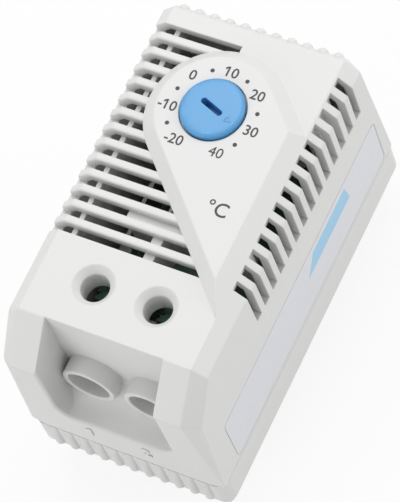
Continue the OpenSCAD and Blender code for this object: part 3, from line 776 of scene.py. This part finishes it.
class SWITCH_OT_base(bpy.types.Operator):
    """Moulds the base and the rail latch."""

    bl_idname = "switch.base"
    bl_label = "Base and latch"

    def execute(self, context):
        softened("rear_base", "housing", "look_base", settings().edge, reshape=run_out)
        softened("rail_latch", "latch", "look_base", settings().edge)
        return {"FINISHED"}


class SWITCH_OT_dial(bpy.types.Operator):
    """Finishes the knob and what turns with it."""

    bl_idname = "switch.dial"
    bl_label = "Dial"

    def execute(self, context):
        softened("setting_knob", "dial", "look_knob", KNOB_EDGE)
        dress("knob_clip", "look_steel")
        dress("setting_spindle", "look_steel")
        dress("spindle_bush", "look_brass")
        dress("setting_cam", "look_cam")
        return {"FINISHED"}


class SWITCH_OT_print(bpy.types.Operator):
    """Prints the dial's figures, dots and unit sign, and raises the terminal figures."""

    bl_idname = "switch.print"
    bl_label = "Print"

    def execute(self, context):
        look = settings()
        level = TONGUE_TOP + look.ink_rise / 2
        for words, angle in FIGURES.items():
            inward = TEN_INWARD if words == "10" else 0.0
            place = self.round_dial(look.figure_r - inward, angle, level)
            name = "figure_" + words.replace("-", "minus_")
            self.printed(name, words, place, look.figure_cap)
        self.printed("unit_sign", "°C", (*UNIT_PLACE, level), look.unit_cap)
        self.dots(level)
        for words, (x, z) in TERMINALS.items():
            place = (x, END_Y - look.mark_rise / 2, z)
            turn = (math.pi / 2, 0.0, 0.0)
            name = "terminal_figure_" + words
            size = (look.mark_cap, look.mark_rise)
            raised = sign(name, words, place, *size, "look_housing", turn, look.stroke)
            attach(raised, "housing")
        return {"FINISHED"}

    def round_dial(self, radius, angle, level):
        turn = math.radians(angle)
        middle = DIAL_Y - settings().print_drop
        return (radius * math.cos(turn), middle + radius * math.sin(turn), level)

    def printed(self, name, words, place, cap):
        """Figures in ink on the tongue. A 4 isn't widened, because its acute corners would grow a spike."""
        look = settings()
        bold = 0.0 if "4" in words else look.stroke
        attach(sign(name, words, place, cap, look.ink_rise, "look_ink", bold=bold), "housing")

    def dots(self, level):
        """One dot with a soft rim, copied to each place between the figures."""
        look = settings()
        bpy.ops.object.select_all(action="DESELECT")
        bpy.ops.mesh.primitive_cylinder_add(
            vertices=DOT_SIDES, radius=look.dot_size, depth=look.ink_rise
        )
        master = soft_rim(bpy.context.object, look.ink_rise)
        for angle in DOTS:
            only(master)
            bpy.ops.object.duplicate()
            dot = bpy.context.object
            dot.location = self.round_dial(look.dot_r, angle, level)
            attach(painted(baked(dot, f"dot_{angle % 360}"), "look_ink"), "housing")
        only(master)
        bpy.ops.object.delete()


class SWITCH_OT_terminals(bpy.types.Operator):
    """Finishes the rails, clamps and screws of the terminals."""

    bl_idname = "switch.terminals"
    bl_label = "Terminals"

    def execute(self, context):
        for side in ("1", "2"):
            dress("terminal_rail_" + side, "look_tin")
            softened("terminal_clamp_" + side, "clamp_" + side, "look_steel", CLAMP_EDGE)
            softened("terminal_screw_" + side, "screw_" + side, "look_zinc", SCREW_EDGE)
        dress("rail_rivets", "look_tin")
        return {"FINISHED"}


class SWITCH_OT_works(bpy.types.Operator):
    """Finishes the board, the blade, the bimetal strip and their contacts."""

    bl_idname = "switch.works"
    bl_label = "Switch works"

    def execute(self, context):
        dress("switch_board", "look_board")
        for node in ("contact_blade", "calibration_screw"):
            dress(node, "look_tin")
        dress("strip_rivets", "look_brass")
        for node in ("fixed_contact", "moving_contact"):
            dress(node, "look_silver")
        dress("bimetal_strip", "look_bimetal")
        dress("snap_magnet", "look_magnet")
        return {"FINISHED"}


class SWITCH_OT_spring(bpy.types.Operator):
    """Winds the latch spring as a still coil; the real spring shortens as the latch is pulled."""

    bl_idname = "switch.spring"
    bl_label = "Latch spring"

    turns: bpy.props.IntProperty(name="Turns", description="Turns of the spring", default=6)
    radius: bpy.props.FloatProperty(
        name="Radius",
        description="Mean radius",
        default=1.1 * MM,
        unit="LENGTH",
    )
    wire: bpy.props.FloatProperty(
        name="Wire",
        description="Radius of the wire",
        default=0.22 * MM,
        unit="LENGTH",
    )

    def execute(self, context):
        low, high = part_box("latch_spring")
        middle = (low + high) / 2
        steps = self.turns * TURN_STEPS
        rise = (high.y - low.y - 2 * self.wire) / steps
        bpy.ops.object.select_all(action="DESELECT")
        bpy.ops.mesh.primitive_circle_add(
            vertices=WIRE_SIDES,
            radius=self.wire,
            location=(middle.x + self.radius, low.y + self.wire, middle.z),
        )
        obj = bpy.context.object
        bpy.ops.object.mode_set(mode="EDIT")
        bpy.ops.mesh.select_all(action="SELECT")
        bpy.ops.mesh.spin(
            steps=steps,
            angle=-2 * math.pi * self.turns,
            center=middle,
            axis=(0, 1, 0),
        )
        bpy.ops.mesh.select_all(action="SELECT")
        bpy.ops.mesh.fill_holes(sides=WIRE_SIDES)
        bpy.ops.mesh.normals_make_consistent(inside=False)
        bpy.ops.object.mode_set(mode="OBJECT")
        baked(obj, "latch_spring_wound")
        for index, vertex in enumerate(obj.data.vertices):
            vertex.co.y += rise * (index // WIRE_SIDES)
        painted(obj, "look_steel")
        only(obj)
        bpy.ops.object.shade_smooth()
        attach(obj, "housing")
        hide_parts("latch_spring")
        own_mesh(obj)
        return {"FINISHED"}


class SWITCH_OT_label(bpy.types.Operator):
    """Finishes the bare label and its plain band."""

    bl_idname = "switch.label"
    bl_label = "Label"

    def execute(self, context):
        dress("rating_label", "look_label")
        self.band(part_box("rating_label")[1].x)
        return {"FINISHED"}

    def band(self, face_x):
        """Four-cornered colour band, printed as a thin film with a soft rim on the label's face."""
        rise = settings().ink_rise
        bpy.ops.object.select_all(action="DESELECT")
        bpy.ops.mesh.primitive_plane_add(size=1, location=(0, 0, 0))
        obj = bpy.context.object
        for vertex, (y, z) in zip(obj.data.vertices, BAND):
            vertex.co = (face_x - rise / 2, y, z)
        edit_all(obj)
        bpy.ops.mesh.extrude_region_move(TRANSFORM_OT_translate={"value": (rise, 0, 0)})
        bpy.ops.object.mode_set(mode="OBJECT")
        soft_rim(closed(obj), rise)
        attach(painted(baked(obj, "label_band"), "look_band"), "housing")


class SWITCH_OT_stage(bpy.types.Operator):
    """Sets the floor, the lights and the camera."""

    bl_idname = "switch.stage"
    bl_label = "Stage"

    def execute(self, context):
        look = context.scene.switch_stage
        self.floor(look.backdrop)
        self.lamp("key_light", KEY_PLACE, look.key)
        self.lamp("side_light", SIDE_PLACE, look.side)
        self.lamp("end_light", END_PLACE, look.end)
        world = bpy.data.worlds.new("studio")
        context.scene.world = world
        world.use_nodes = True
        sky = world.node_tree.nodes["Background"]
        sky.inputs["Color"].default_value = WHITE
        sky.inputs["Strength"].default_value = look.sky
        bpy.ops.object.select_all(action="DESELECT")
        bpy.ops.object.camera_add()
        camera = context.object
        camera.matrix_world = Matrix.Translation(look.eye) @ Matrix(CAMERA_AXES).to_4x4()
        camera.data.lens = look.lens
        camera.data.sensor_width = SENSOR
        camera.data.clip_start = CLIP_START
        context.scene.camera = camera
        context.scene.view_settings.view_transform = "Standard"
        return {"FINISHED"}

    def floor(self, backdrop):
        """A plain floor that the camera sees as almost white, with the object's shadow."""
        bpy.ops.object.select_all(action="DESELECT")
        bpy.ops.mesh.primitive_plane_add(size=FLOOR_SIZE, location=(0, 0, 0))
        obj = bpy.context.object
        obj.name = "floor"
        paint = Paint("stage_floor")
        paint.set(Base_Color=FLOOR_COLOR, Roughness=FLOOR_ROUGH)
        white = paint.node("ShaderNodeEmission", 0, {"Color": WHITE, "Strength": 1.0})
        camera = paint.node("ShaderNodeLightPath", "Is Camera Ray")
        seen = camera + Wire(paint, camera.socket.node.outputs["Is Glossy Ray"])
        seen = seen + Wire(paint, camera.socket.node.outputs["Is Transmission Ray"])
        plain = Wire(paint, paint.shader.outputs[0])
        both = paint.node("ShaderNodeMixShader", 0, {0: backdrop * seen, 1: plain, 2: white})
        paint.feed(paint.tree.nodes["Material Output"].inputs["Surface"], both)
        obj.data.materials.append(paint.material)

    def lamp(self, name, place, power):
        """A square soft lamp that looks at the object."""
        bpy.ops.object.select_all(action="DESELECT")
        bpy.ops.object.light_add(type="AREA", location=place)
        lamp = bpy.context.object
        lamp.name = name
        lamp.data.size = bpy.context.scene.switch_stage.lamp_size
        lamp.data.energy = power
        lamp.rotation_euler = (-lamp.location).to_track_quat("-Z", "Y").to_euler()


class SWITCH_PT_panel(bpy.types.Panel):
    """Buttons and settings in the sidebar."""

    bl_label = "Temperature switch"
    bl_idname = "SWITCH_PT_panel"
    bl_space_type = "VIEW_3D"
    bl_region_type = "UI"
    bl_category = "Switch"

    def draw(self, context):
        for group in (context.scene.switch_looks, context.scene.switch_stage):
            for key in group.__annotations__:
                self.layout.prop(group, key)
        for operator in OPERATORS:
            self.layout.operator(operator.bl_idname)


OPERATORS = (
    SWITCH_OT_cover,
    SWITCH_OT_base,
    SWITCH_OT_dial,
    SWITCH_OT_print,
    SWITCH_OT_terminals,
    SWITCH_OT_works,
    SWITCH_OT_spring,
    SWITCH_OT_label,
    SWITCH_OT_stage,
)
CLASSES = (SwitchLooks, SwitchStage) + OPERATORS + (SWITCH_PT_panel,)


def register():
    for cls in CLASSES:
        bpy.utils.register_class(cls)
    bpy.types.Scene.switch_looks = bpy.props.PointerProperty(type=SwitchLooks)
    bpy.types.Scene.switch_stage = bpy.props.PointerProperty(type=SwitchStage)


def unregister():
    del bpy.types.Scene.switch_looks
    del bpy.types.Scene.switch_stage
    for cls in reversed(CLASSES):
        bpy.utils.unregister_class(cls)


def main():
    register()
    bpy.ops.switch.cover()
    bpy.ops.switch.base()
    bpy.ops.switch.dial()
    bpy.ops.switch.print()
    bpy.ops.switch.terminals()
    bpy.ops.switch.works()
    bpy.ops.switch.spring()
    bpy.ops.switch.label()
    bpy.ops.switch.stage()


if __name__ == "__main__":
    main()
